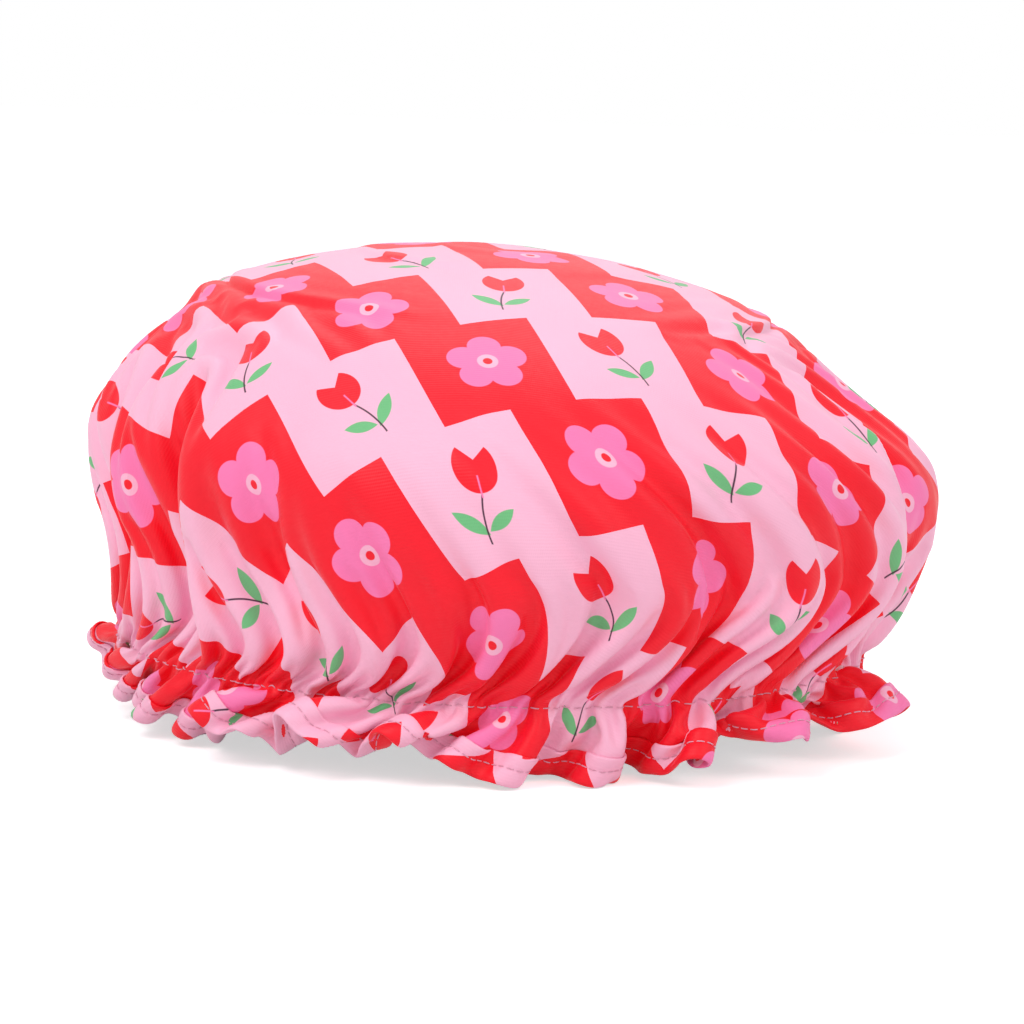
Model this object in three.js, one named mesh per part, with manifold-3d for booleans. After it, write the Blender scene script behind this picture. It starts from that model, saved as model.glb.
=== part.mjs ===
// A shower cap, standing on its ruffle: a round of printed cloth and a waterproof lining, gathered together
// by an elastic sewn inside, with a bound edge. Millimetres, +Z up, the cap's front towards -Y.
// The cloth is described by its flat cut: a flat radius from the crown's centre, and an angle round it.
import * as THREE from "three";
import { mergeVertices } from "three/addons/utils/BufferGeometryUtils.js";
import Module from "manifold-3d";

// The crown, measured from the gathering stitch.
const BAND_RADIUS = 120; // the cloth's inner folds, where the elastic draws it in
const EQUATOR_RADIUS = 142; // the widest ring, before its folds
const EQUATOR_RISE = 61; // gathering stitch to the widest ring
const CROWN_RISE = 129.5; // gathering stitch to the top
const CROWN_TILT_SHARE = 0.06; // how far the crown leans, as a share of the distance across it
const ROUND_SHARE = 0.46; // fullness of the crown's outline: 0.55 is an ellipse
const TUCK_SHARE = 0.47; // how much of its drop is behind the cloth before it turns in to the band
const LEFT_TUCK_SHARE = 0.68; // how far the left-hand side is drawn in to the band below its widest ring
const RIGHT_TUCK_SHARE = 0.2; // the same on the right
const SHOULDER_DENT = 9.5; // how far the right shoulder slopes in
const SHOULDER_FROM = 58; // where the slope starts, above the gathering stitch
const SHOULDER_AT = 80; // where it is deepest
const SHOULDER_TO = 108; // where it ends

// The ruffle below the elastic.
const RUFFLE_LENGTH = 20;
const RUFFLE_FLARE = 4; // how much further out its edge is than the band
const RUFFLE_WAVE = 20; // inner fold to outer fold, at the edge of the widest fold
const RUFFLE_INSET = 8; // how far the inner folds beside the widest come back in
const RUFFLE_LIFT = 6; // how far the edge of the highest fold is off the ground
const FOOT_CUT = 0.5; // how deep the lowest folds are flattened where the cap stands

// The gathers.
const BAND_FOLD = 4.5; // inner fold to outer fold, over the elastic
const CROWN_SWELL = 5; // how far the crown's folds swell out of the smooth outline
const CROWN_VALLEY = 28; // how far the deepest valley between them is pressed in
const FOLD_REACH = 124; // how far up the longest fold runs
const DEEPEST_SHARE = 0.28; // where along its reach a fold is deepest

// Cloth, lining, binding, elastic and threads.
const CLOTH = 0.8;
const LINING = 0.5;
const BINDING = 0.8;
const BINDING_WIDTH = 10;
const BINDING_SEAM = 4.5; // binding's upper edge to its row of stitches
const ELASTIC = 0.9;
const ELASTIC_WIDTH = 7;
const ELASTIC_OVERLAP = 16; // length of the sewn join
const ELASTIC_RAMP = 10; // length over which one end climbs onto the other
const JOIN_ZIGZAGS = 5;
const THREAD = 0.5;
const GAP = 0.3; // between pieces that touch

// The folds round the cap, from its left-hand side past the front, the right and the back.
// turn: how wide the fold is, in degrees. reach: how far up it runs, as a share of the longest.
// valley: how deep the crown's valley before it is, as a share of the deepest.
// lift: how far its edge is off the ground, as a share of the highest.
const FOLDS = [
  { turn: 24, reach: 1.0, valley: 0.7, lift: 0.4 },
  { turn: 20, reach: 1.0, valley: 0.8, lift: 0.0 },
  { turn: 18, reach: 0.95, valley: 0.6, lift: 0.7 },
  { turn: 14, reach: 0.8, valley: 0.3, lift: 0.8 },
  { turn: 14, reach: 0.7, valley: 0.05, lift: 0.0 },
  { turn: 15, reach: 0.7, valley: 0.05, lift: 0.1 },
  { turn: 17, reach: 0.75, valley: 0.15, lift: 0.0 },
  { turn: 16, reach: 0.9, valley: 0.55, lift: 0.9 },
  { turn: 20, reach: 0.9, valley: 0.0, lift: 1.0 },
  { turn: 22, reach: 1.0, valley: 1.0, lift: 1.0 },
  { turn: 19, reach: 1.0, valley: 0.8, lift: 0.7 },
  { turn: 16, reach: 0.9, valley: 0.4, lift: 0.0 },
  { turn: 20, reach: 0.9, valley: 0.65, lift: 0.0 },
  { turn: 15, reach: 0.8, valley: 0.3, lift: 0.4 },
  { turn: 18, reach: 0.85, valley: 0.4, lift: 0.6 },
  { turn: 17, reach: 0.85, valley: 0.35, lift: 0.3 },
  { turn: 21, reach: 0.95, valley: 0.5, lift: 0.0 },
  { turn: 16, reach: 0.85, valley: 0.3, lift: 0.0 },
  { turn: 20, reach: 0.95, valley: 0.55, lift: 0.5 },
  { turn: 18, reach: 0.95, valley: 0.5, lift: 1.0 },
];
const FIRST_VALLEY = THREE.MathUtils.degToRad(-180);
const STEPS_PER_FOLD = 4;
const WIDEST_TURN = Math.max(...FOLDS.map(({ turn }) => turn));

// Broad swellings of the crown: a share of its radius, towards a direction in degrees.
const SWELLINGS = [
  { share: 0.032, waves: 1, towards: 0 },
  { share: 0.014, waves: 2, towards: 12 },
  { share: 0.012, waves: 3, towards: 150 },
];

// Where the crown's rings lie, as shares of its length, and how many steps of a fold their points are apart.
const CROWN_RINGS = [
  { share: 0.125, skip: 4 },
  { share: 0.26, skip: 4 },
  { share: 0.39, skip: 2 },
  { share: 0.5, skip: 1 },
  { share: 0.585, skip: 1 },
  { share: 0.66, skip: 1 },
  { share: 0.735, skip: 1 },
  { share: 0.82, skip: 1 },
  { share: 0.91, skip: 1 },
];

// The smooth outline, in three stretches: over the crown, in to the elastic, and down the ruffle.
const NECK = ELASTIC_WIDTH / 2; // the cloth lies flat on the elastic this far each side of the stitch
const overCrown = new THREE.CubicBezierCurve(
  new THREE.Vector2(0, CROWN_RISE),
  new THREE.Vector2(EQUATOR_RADIUS * ROUND_SHARE, CROWN_RISE),
  new THREE.Vector2(EQUATOR_RADIUS, THREE.MathUtils.lerp(EQUATOR_RISE, CROWN_RISE, ROUND_SHARE)),
  new THREE.Vector2(EQUATOR_RADIUS, EQUATOR_RISE),
);
const inToBand = new THREE.CubicBezierCurve(
  new THREE.Vector2(EQUATOR_RADIUS, EQUATOR_RISE),
  new THREE.Vector2(EQUATOR_RADIUS, EQUATOR_RISE * (1 - TUCK_SHARE)),
  new THREE.Vector2(THREE.MathUtils.lerp(BAND_RADIUS, EQUATOR_RADIUS, TUCK_SHARE), 3 * NECK),
  new THREE.Vector2(BAND_RADIUS, NECK),
);
const downRuffle = new THREE.QuadraticBezierCurve(
  new THREE.Vector2(BAND_RADIUS, -NECK),
  new THREE.Vector2(BAND_RADIUS, -NECK - RUFFLE_LENGTH / 2),
  new THREE.Vector2(BAND_RADIUS + RUFFLE_FLARE, -NECK - RUFFLE_LENGTH),
);
const EQUATOR_FLAT = overCrown.getLength();
const NECK_TOP_FLAT = EQUATOR_FLAT + inToBand.getLength();
const NECK_BASE_FLAT = NECK_TOP_FLAT + 2 * NECK;
const EDGE_FLAT = NECK_BASE_FLAT + RUFFLE_LENGTH;

// A point of the smooth outline at a flat radius: x is its distance from the axis, y its height.
function outline(flat) {
  if (flat <= EQUATOR_FLAT) return overCrown.getPointAt(flat / EQUATOR_FLAT);
  if (flat <= NECK_TOP_FLAT)
    return inToBand.getPointAt((flat - EQUATOR_FLAT) / (NECK_TOP_FLAT - EQUATOR_FLAT));
  if (flat <= NECK_BASE_FLAT) return new THREE.Vector2(BAND_RADIUS, NECK - (flat - NECK_TOP_FLAT));
  return downRuffle.getPoint((flat - NECK_BASE_FLAT) / RUFFLE_LENGTH);
}

// Which way the smooth outline runs. Below the crown, folds are pushed straight outwards.
function directionOf(flat) {
  if (flat >= NECK_TOP_FLAT) return new THREE.Vector2(0, -1);
  const step = CLOTH / 10;
  return outline(flat + step).sub(outline(Math.max(flat - step, 0))).normalize();
}

// Which fold an angle is in: crest is 0 in the valleys and 1 on the ridge, and valley is the nearer one's.
function foldAt(angle) {
  const tiny = 1e-7;
  let turn = THREE.MathUtils.euclideanModulo(THREE.MathUtils.radToDeg(angle - FIRST_VALLEY) + tiny, 360);
  let index = 0;
  while (turn >= FOLDS[index].turn) turn -= FOLDS[index++].turn;
  const across = turn / FOLDS[index].turn;
  const crest = Math.sin(Math.PI * across);
  const beside = FOLDS[(index + (across < 0.5 ? FOLDS.length - 1 : 1)) % FOLDS.length];
  const mixed = (key) =>
    THREE.MathUtils.lerp((FOLDS[index][key] + beside[key]) / 2, FOLDS[index][key], crest);
  const { valley } = across < 0.5 ? FOLDS[index] : beside;
  return { crest, valley, reach: mixed("reach"), lift: mixed("lift"), width: mixed("turn") / WIDEST_TURN };
}

// How far down the ruffle a flat radius is: 0 at the elastic, and 1 all across the straight binding.
const downRuffleShare = (flat) =>
  THREE.MathUtils.clamp((flat - NECK_BASE_FLAT) / (RUFFLE_LENGTH - BINDING_WIDTH), 0, 1);

// How far a fold pushes the cloth out of the smooth outline.
function pushedOut(flat, fold) {
  if (flat >= NECK_BASE_FLAT) {
    const down = downRuffleShare(flat);
    const wave = THREE.MathUtils.lerp(BAND_FOLD, RUFFLE_WAVE * fold.width, down);
    return wave * fold.crest - RUFFLE_INSET * fold.width * down;
  }
  if (flat >= NECK_TOP_FLAT) return BAND_FOLD * fold.crest;
  const up = (NECK_TOP_FLAT - flat) / (FOLD_REACH * fold.reach);
  const rising = THREE.MathUtils.smoothstep(up, 0, DEEPEST_SHARE);
  const fading = 1 - THREE.MathUtils.smoothstep(up, DEEPEST_SHARE, 1);
  const swell = THREE.MathUtils.lerp(BAND_FOLD, CROWN_SWELL, rising) * fading;
  return swell * fold.crest - CROWN_VALLEY * fold.valley * rising * fading * (1 - fold.crest);
}

// A radius of the crown once its sides are drawn in towards the band and its right shoulder slopes.
function drawnIn(radius, rise, angle) {
  const { clamp, lerp, smoothstep } = THREE.MathUtils;
  const toLeft = clamp(-Math.cos(angle), 0, 1);
  const toRight = clamp(Math.cos(angle), 0, 1);
  const side = LEFT_TUCK_SHARE * toLeft ** 1.5 + RIGHT_TUCK_SHARE * toRight ** 1.5;
  const tucked = side * Math.sin(Math.PI * clamp(rise / EQUATOR_RISE, 0, 1));
  const sloped = smoothstep(rise, SHOULDER_FROM, SHOULDER_AT) - smoothstep(rise, SHOULDER_AT, SHOULDER_TO);
  return lerp(radius, Math.min(radius, BAND_RADIUS), tucked) - SHOULDER_DENT * toRight ** 2 * sloped;
}

// A point on the middle of the cloth.
function clothPoint(flat, angle) {
  const here = outline(flat);
  const along = directionOf(flat);
  const fold = foldAt(angle);
  const out = pushedOut(flat, fold);
  const high = THREE.MathUtils.smoothstep(here.y, NECK, EQUATOR_RISE);
  const swelling = SWELLINGS.reduce(
    (sum, { share, waves, towards }) =>
      sum + share * Math.cos(waves * (angle - THREE.MathUtils.degToRad(towards))),
    0,
  );
  const lift = RUFFLE_LIFT * fold.lift * downRuffleShare(flat);
  const radius = drawnIn(here.x - along.y * out, here.y, angle) * (1 + swelling * high);
  const x = radius * Math.cos(angle);
  const z = here.y + along.x * out + lift - CROWN_TILT_SHARE * x * high;
  return new THREE.Vector3(x, radius * Math.sin(angle), z);
}

// The angles of the points in one ring, with STEPS_PER_FOLD of them to each fold.
const ANGLES = [];
FOLDS.reduce((start, { turn }) => {
  for (let step = 0; step < STEPS_PER_FOLD; step++)
    ANGLES.push(FIRST_VALLEY + THREE.MathUtils.degToRad(start + (turn * step) / STEPS_PER_FOLD));
  return start + turn;
}, 0);

const clothRow = (flat, skip = 1) =>
  ANGLES.filter((_, index) => index % skip === 0).map((angle) => clothPoint(flat, angle));

function geometryOf(points, faces) {
  const geometry = new THREE.BufferGeometry().setFromPoints(points);
  geometry.setIndex(faces);
  return geometry;
}

// Faces between two rows of points that each go full circle. The lower row has as many points, or twice.
// Four corners are always split from the crown's side, so that layers of cloth stay parallel.
function facesBetween(upperStart, upperCount, lowerStart, lowerCount, climbing = false) {
  const faces = [];
  for (let index = 0; index < upperCount; index++) {
    const upper = upperStart + index;
    const upperNext = upperStart + ((index + 1) % upperCount);
    if (lowerCount === upperCount) {
      const lower = lowerStart + index;
      const lowerNext = lowerStart + ((index + 1) % lowerCount);
      if (climbing) faces.push(upper, lower, upperNext, upperNext, lower, lowerNext);
      else faces.push(upper, lower, lowerNext, upper, lowerNext, upperNext);
    } else {
      const lower = lowerStart + index * 2;
      const lowerNext = lowerStart + ((index * 2 + 2) % lowerCount);
      faces.push(upper, lower, lower + 1, upper, lower + 1, upperNext, upperNext, lower + 1, lowerNext);
    }
  }
  return faces;
}

// One side of a dome: a point at the top and rows below it. Turned round, its faces point inwards.
function domeSide(top, rows, start, turned) {
  const [first, ...others] = rows;
  const points = [top, ...first];
  const around = start + 1;
  const faces = first.flatMap((_, index) => [start, around + index, around + ((index + 1) % first.length)]);
  let last = { start: around, count: first.length };
  for (const row of others) {
    const below = { start: start + points.length, count: row.length };
    faces.push(...facesBetween(last.start, last.count, below.start, below.count));
    points.push(...row);
    last = below;
  }
  if (turned) faces.reverse();
  return { points, faces, last };
}

// The middle of the cloth as rings of places, each with a point and the outward normal of the faces round it.
function clothRings() {
  const rows = [
    ...CROWN_RINGS.map(({ share, skip }) => clothRow(NECK_TOP_FLAT * share, skip)),
    clothRow(NECK_TOP_FLAT),
    clothRow(NECK_BASE_FLAT),
    clothRow(EDGE_FLAT - BINDING_WIDTH),
    clothRow(EDGE_FLAT),
  ];
  const side = domeSide(clothPoint(0, 0), rows, 0, false);
  const middle = geometryOf(side.points, side.faces);
  middle.computeVertexNormals();
  const normals = middle.getAttribute("normal");
  let next = 1;
  return rows.map((row) =>
    row.map((point) => ({ point, normal: new THREE.Vector3().fromBufferAttribute(normals, next++) })),
  );
}

const rings = clothRings();
const [neckTopRing, neckBaseRing, bindingTopRing, edgeRing] = rings.slice(-4);
bindingTopRing.forEach((place, index) => place.normal.copy(edgeRing[index].normal));

// The ring a share of the way from one ring to another, on the straight faces between them.
const ringBetween = (upper, lower, share) =>
  upper.map(({ point, normal }, index) => ({
    point: point.clone().lerp(lower[index].point, share),
    normal: normal.clone().lerp(lower[index].normal, share).normalize(),
  }));

// A ring's points moved out of the cloth by a distance.
const offsetRing = (ring, distance) =>
  ring.map(({ point, normal }) => point.clone().addScaledVector(normal, distance));

// A dome of cloth between two distances from the rings it follows.
function domeGeometry(dome, outside, inside) {
  const topAt = (distance) => clothPoint(0, 0).add(new THREE.Vector3(0, 0, distance));
  const rowsAt = (distance) => dome.map((ring) => offsetRing(ring, distance));
  const outer = domeSide(topAt(outside), rowsAt(outside), 0, false);
  const inner = domeSide(topAt(inside), rowsAt(inside), outer.points.length, true);
  const rim = facesBetween(outer.last.start, outer.last.count, inner.last.start, inner.last.count);
  return geometryOf([...outer.points, ...inner.points], [...outer.faces, ...inner.faces, ...rim]);
}

// A band that closes on itself: rows of points that go round the cap, the last row joining the first.
// A climbing row is one that the next row is nearer the crown than.
function bandGeometry(rows, climbing = []) {
  const count = rows[0].length;
  const faces = rows.flatMap((_, index) =>
    facesBetween(index * count, count, ((index + 1) % rows.length) * count, count, climbing.includes(index)),
  );
  return geometryOf(rows.flat(), faces);
}

// The binding folds over the cloth's edge: an outer face, a turn below the edge, and an inner face.
function bindingGeometry() {
  const near = CLOTH / 2 + GAP;
  const far = near + BINDING;
  const turnNear = ringBetween(bindingTopRing, edgeRing, 1 + GAP / BINDING_WIDTH);
  const turnFar = ringBetween(bindingTopRing, edgeRing, 1 + (GAP + BINDING) / BINDING_WIDTH);
  const rows = [
    offsetRing(bindingTopRing, far),
    offsetRing(turnFar, far),
    offsetRing(turnFar, -far),
    offsetRing(bindingTopRing, -far),
    offsetRing(bindingTopRing, -near),
    offsetRing(turnNear, -near),
    offsetRing(turnNear, near),
    offsetRing(bindingTopRing, near),
  ];
  return bandGeometry(rows, [2, 6]);
}

// A thread with a square section that follows a closed row of places, with its middle on each point.
function threadGeometry(places) {
  const corners = [0, 1, 2, 3].map((corner) => (corner * Math.PI) / 2);
  const rows = corners.map((turn) =>
    places.map(({ point, normal }, index) => {
      const next = places[(index + 1) % places.length].point;
      const before = places[(index + places.length - 1) % places.length].point;
      const across = next.clone().sub(before).cross(normal).normalize();
      return point
        .clone()
        .addScaledVector(normal, (THREAD / 2) * Math.cos(turn))
        .addScaledVector(across, (THREAD / 2) * Math.sin(turn));
    }),
  );
  return bandGeometry(rows);
}

// A ring of places moved off the cloth, for a thread that lies on one of its layers.
const laidOn = (ring, distance) =>
  offsetRing(ring, distance).map((point, index) => ({ point, normal: ring[index].normal }));

// Radii inside the band, from the cloth's inner folds inwards.
const LINING_OUTER = -(CLOTH / 2 + GAP);
const LINING_INNER = LINING_OUTER - LINING;
const ELASTIC_OUTER = BAND_RADIUS + LINING_INNER - GAP;
const ELASTIC_INNER = ELASTIC_OUTER - ELASTIC;
const ELASTIC_RUN = 2 * Math.PI * ELASTIC_INNER;
const ELASTIC_STEPS = 90;

// How far the elastic has climbed inwards at a distance along it, to lie over its own start.
const climbed = (run) =>
  THREE.MathUtils.smoothstep(run, ELASTIC_RUN - ELASTIC_RAMP, ELASTIC_RUN) * (ELASTIC + GAP);

const polarPoint = (radius, angle, z) =>
  new THREE.Vector3(radius * Math.cos(angle), radius * Math.sin(angle), z);

// The elastic: a flat strip round the band, whose last stretch overlaps its first.
function elasticGeometry() {
  const length = ELASTIC_RUN + ELASTIC_OVERLAP;
  const points = [];
  for (let step = 0; step <= ELASTIC_STEPS; step++) {
    const run = (length * step) / ELASTIC_STEPS;
    const outer = ELASTIC_OUTER - climbed(run);
    const angle = run / ELASTIC_INNER;
    points.push(
      polarPoint(outer - ELASTIC, angle, -ELASTIC_WIDTH / 2),
      polarPoint(outer, angle, -ELASTIC_WIDTH / 2),
      polarPoint(outer, angle, ELASTIC_WIDTH / 2),
      polarPoint(outer - ELASTIC, angle, ELASTIC_WIDTH / 2),
    );
  }
  const last = ELASTIC_STEPS * 4;
  const faces = [0, 1, 2, 0, 2, 3, last, last + 2, last + 1, last, last + 3, last + 2];
  for (let corner = 0; corner < last; corner++) {
    const next = corner % 4 === 3 ? corner - 3 : corner + 1;
    faces.push(corner, corner + 4, next, next, corner + 4, next + 4);
  }
  return geometryOf(points, faces);
}

// The gathering stitch's inner thread, which runs over the elastic and across its join.
function innerThreadPlaces() {
  const joinEnd = ELASTIC_OVERLAP + THREAD;
  return Array.from({ length: ELASTIC_STEPS }, (_, step) => {
    const run = (ELASTIC_RUN * step) / ELASTIC_STEPS;
    const onJoin = (ELASTIC + GAP) * (1 - THREE.MathUtils.smoothstep(run, joinEnd, joinEnd + ELASTIC_RAMP));
    const radius = ELASTIC_INNER - GAP - THREAD / 2 - Math.max(onJoin, climbed(run));
    const angle = run / ELASTIC_INNER;
    return { point: polarPoint(radius, angle, 0), normal: polarPoint(1, angle, 0) };
  });
}

// The zigzag thread of the elastic's join, on the overlap's upper half, clear of the gathering stitch.
function joinStitchGeometry() {
  const radius = ELASTIC_INNER - ELASTIC - 2 * GAP - THREAD / 2;
  const low = THREAD + GAP;
  const high = ELASTIC_WIDTH / 2 - THREAD;
  const turns = 2 * JOIN_ZIGZAGS;
  const points = Array.from({ length: turns + 1 }, (_, index) => {
    const angle = (ELASTIC_OVERLAP * (index + 1)) / (turns + 2) / ELASTIC_INNER;
    return polarPoint(radius, angle, index % 2 ? high : low);
  });
  const section = new THREE.Shape().absarc(0, 0, THREAD / 2, 0, 2 * Math.PI);
  const path = new THREE.CatmullRomCurve3(points, false, "centripetal");
  return new THREE.ExtrudeGeometry(section, { steps: 6 * turns, curveSegments: 3, extrudePath: path });
}

const wasm = await Module();
wasm.setup();

// A geometry as a solid that can be cut.
function solidOf(geometry) {
  const bare = new THREE.BufferGeometry().setAttribute("position", geometry.getAttribute("position"));
  bare.setIndex(geometry.index);
  const merged = mergeVertices(bare);
  const mesh = new wasm.Mesh({
    numProp: 3,
    vertProperties: merged.attributes.position.array,
    triVerts: new Uint32Array(merged.index.array),
  });
  return new wasm.Manifold(mesh);
}

// The geometry with everything below a height cut away.
function cutFlat(geometry, height) {
  const size = geometry.boundingBox.getSize(new THREE.Vector3());
  const block = new THREE.BoxGeometry(size.x * 2, size.y * 2, size.z);
  block.translate(0, 0, height - size.z / 2);
  const { vertProperties, triVerts } = solidOf(geometry).subtract(solidOf(block)).getMesh();
  const cut = new THREE.BufferGeometry();
  cut.setAttribute("position", new THREE.BufferAttribute(vertProperties, 3));
  cut.setIndex(new THREE.BufferAttribute(triVerts, 1));
  return cut;
}

const binding = bindingGeometry();
binding.computeBoundingBox();
const ground = binding.boundingBox.min.z + FOOT_CUT;

const stitchHeight = CLOTH / 2 + GAP + THREAD / 2; // from the middle of the cloth to a thread on it
const gatheringRing = ringBetween(neckTopRing, neckBaseRing, 0.5);
const seamRing = ringBetween(bindingTopRing, edgeRing, BINDING_SEAM / BINDING_WIDTH);

const finish = (color, roughness) => new THREE.MeshStandardMaterial({ color, roughness, metalness: 0 });
const printedCloth = finish(0xf0384c, 0.55);
const waterproofFilm = finish(0xf6e9ee, 0.35);
const wovenElastic = finish(0xf3f0ee, 0.85);
const palePinkThread = finish(0xf7bccd, 0.5);

const cap = new THREE.Group();
function add(name, geometry, material) {
  const mesh = new THREE.Mesh(geometry, material);
  mesh.name = name;
  cap.add(mesh);
}

add("outer_shell", domeGeometry(rings, CLOTH / 2, -CLOTH / 2), printedCloth);
add("waterproof_lining", domeGeometry(rings.slice(0, -2), LINING_OUTER, LINING_INNER), waterproofFilm);
add("edge_binding", cutFlat(binding, ground), printedCloth);
add("elastic_band", elasticGeometry(), wovenElastic);
add("elastic_join_stitch", joinStitchGeometry(), palePinkThread);
add("gathering_stitch_outer", threadGeometry(laidOn(gatheringRing, stitchHeight)), palePinkThread);
add("gathering_stitch_inner", threadGeometry(innerThreadPlaces()), palePinkThread);
add("binding_stitch_outer", threadGeometry(laidOn(seamRing, stitchHeight + BINDING + GAP)), palePinkThread);
add("binding_stitch_inner", threadGeometry(laidOn(seamRing, -stitchHeight - BINDING - GAP)), palePinkThread);

// The origin is on the ground, under the middle of the cap.
const middle = new THREE.Box3().setFromObject(cap).getCenter(new THREE.Vector3());
cap.position.set(-middle.x, -middle.y, -ground);

export default cap;
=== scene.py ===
# Shower cap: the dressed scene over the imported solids. Metres, +Z up, the front looks along -Y.
import math
from functools import partialmethod

import bpy
import numpy as np
from mathutils import Matrix, Vector


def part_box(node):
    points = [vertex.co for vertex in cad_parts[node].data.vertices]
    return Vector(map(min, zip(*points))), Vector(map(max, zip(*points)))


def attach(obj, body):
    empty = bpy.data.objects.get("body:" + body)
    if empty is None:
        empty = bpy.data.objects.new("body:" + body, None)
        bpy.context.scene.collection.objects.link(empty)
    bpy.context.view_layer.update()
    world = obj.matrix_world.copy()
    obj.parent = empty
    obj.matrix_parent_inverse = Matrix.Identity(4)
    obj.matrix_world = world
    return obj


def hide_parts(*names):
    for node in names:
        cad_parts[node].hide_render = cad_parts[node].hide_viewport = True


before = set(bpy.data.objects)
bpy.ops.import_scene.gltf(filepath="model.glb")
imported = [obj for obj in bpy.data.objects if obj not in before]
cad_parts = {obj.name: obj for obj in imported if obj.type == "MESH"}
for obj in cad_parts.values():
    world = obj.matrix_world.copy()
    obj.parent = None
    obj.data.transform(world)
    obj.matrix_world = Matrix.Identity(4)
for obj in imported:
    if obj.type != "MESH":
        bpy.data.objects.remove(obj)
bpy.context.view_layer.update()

MM = 0.001
TURN = 2 * math.pi
TINY = 1e-12

# Camera

VIEW_ELEVATION = 8
VIEW_ROLL = 1.8
VIEW_DISTANCE = 1.2
VIEW_LENS = 127.4
LOOK_AT = Vector((0.0002, 0, 0.0665))


def put_in_scene(name, data):
    made = bpy.data.objects.new(name, data)
    bpy.context.scene.collection.objects.link(made)
    return made


data = bpy.data.cameras.new("view")
data.lens = VIEW_LENS
camera = put_in_scene("view", data)
bpy.context.scene.camera = camera
rise = math.radians(VIEW_ELEVATION)
toward_camera = Vector((0, -math.cos(rise), math.sin(rise)))
camera.location = LOOK_AT + toward_camera * VIEW_DISTANCE
level = (-toward_camera).to_track_quat("-Z", "Y").to_matrix()
camera.rotation_euler = (level @ Matrix.Rotation(math.radians(VIEW_ROLL), 3, "Z")).to_euler()

# The cap's sizes, which follow the solids

band_low, band_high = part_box("elastic_band")
AXIS = (band_low + band_high) / 2
STITCH_HEIGHT = AXIS.z
BAND_RADIUS = 120 * MM
BAND_OUTSIDE = 119.4 * MM
STITCH_RADIUS = BAND_RADIUS + 1.6 * MM
EQUATOR_RADIUS = 142 * MM
EQUATOR_RISE = 61 * MM
CROWN_RISE = 128.5 * MM
CROWN_TILT = 0.052
ROUND_SHARE = 0.45
TOP_SHARE = 0.55
TUCK_SHARE = 0.42
NECK = 3.5 * MM

# The round of cloth as it was cut

STITCH_FLAT = 236 * MM
EDGE_FLAT = 261 * MM
LINING_FLAT = 240 * MM
BINDING_WIDTH = 9.6 * MM
CLOTH_THICK = 0.3 * MM

# Rings of points on the flat round, in mm: from, to, spacing and how many points a ring has
ZONES = [(8, 25, 4.5, 45), (25, 50, 4.2, 90), (50, 95, 3.8, 180), (95, 190, 3.3, 360), (190, 261, 2.37, 720)]
RUFFLE_COLUMNS = ZONES[-1][3]

# The crown's folds from the left past the front, the right and the back: width in degrees, depth, how far it
# leans over the next valley, how much it breaks up into puckers, depth of the valley before it
FIRST_VALLEY = -180
FOLD_PINCH = 0.6
FOLDS = [
    (24, 0.95, -0.5, 0, 1), (20, 1, -0.7, 0, 1), (18, 1.1, -0.9, 0.15, 1.3),
    (14, 0.8, -0.1, 0.6, 0.8), (14, 0.7, 0, 1, 0.5), (15, 0.7, 0, 1, 0.4),
    (17, 0.8, 0.2, 0.9, 0.6), (16, 1.3, 1.1, 0.2, 1), (20, 1.3, 1.3, 0, 0.55),
    (22, 1.1, 0.8, 0, 1), (19, 0.95, 0.5, 0, 1), (16, 0.8, 0, 0.3, 0.8),
    (20, 0.9, 0.2, 0, 1), (15, 0.7, -0.2, 0.5, 0.6), (18, 0.9, 0.2, 0, 1),
    (17, 0.8, 0, 0.4, 0.8), (21, 0.95, -0.2, 0, 1), (16, 0.75, 0.2, 0.4, 0.7),
    (20, 0.9, -0.2, 0, 1), (18, 0.85, -0.2, 0, 0.9),
]

# The ruffle's flaps, the same way round: width in degrees, how far it swings up, how far its sides curl
# under, how far it leans over the next one, depth of the valley before it
FIRST_FLAP = 176
FLAPS = [
    (20, 0.2, 0.8, -0.1, 1), (16, 0.1, 0.8, -0.2, 0.35), (14, 0.1, 0.8, -0.3, 0.25),
    (15, 0.8, 0.8, -0.4, 1), (13, 1.3, 0.8, -0.5, 1), (9, 1.3, 0.8, -0.4, 1),
    (17, 0.1, 0.9, 0, 1), (12, 0.2, 0.8, 0.1, 0.6), (10, 1.1, 0.8, 0.4, 1),
    (17, 0.3, 0.8, 0.4, 1), (24, 0.75, 0.8, 0.4, 1), (14, 0, 0.8, 0.1, 0.8),
    (18, 0.2, 0.8, 0.2, 1), (16, 0.4, 0.7, -0.2, 1), (20, 0.4, 0.8, 0.2, 1),
    (15, 1, 0.8, -0.1, 1), (18, 0.5, 0.7, 0.2, 1), (17, 0.9, 0.8, -0.2, 1),
    (21, 0.3, 0.7, 0.2, 1), (16, 1, 0.8, 0, 1), (14, 0.4, 0.7, -0.2, 1),
    (24, 0.8, 0.8, 0.2, 1),
]

# How far the crown's folds lie inwards, as a share of their width, and how the ruffle hangs
INWARD_SHARE = 0.45
RUFFLE_WIDENS = 1.5 * MM
RUFFLE_DROP = 0.94
FLARE_REACH = 0.9
LEFT_RUFFLE_TUCK = 9 * MM
RIGHT_RUFFLE_TUCK = 15 * MM
FRONT_RUFFLE_TUCK = 9 * MM

# Parts of the ruffle held off the ground: middle and half the width in degrees, how far they swing up
HELD_UP = [(-39, 29, 1.15), (-114, 27, 1)]

# At the stitch the cloth is drawn into puckers too small for the net: the share of its waves that is left
STITCH_PINCH_SHARE = 0.6

# The furthest that waves can swing, and how fast they calm down towards the top
MOST_SWING = 6.0
CALM_POWER = 0.6

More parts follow.
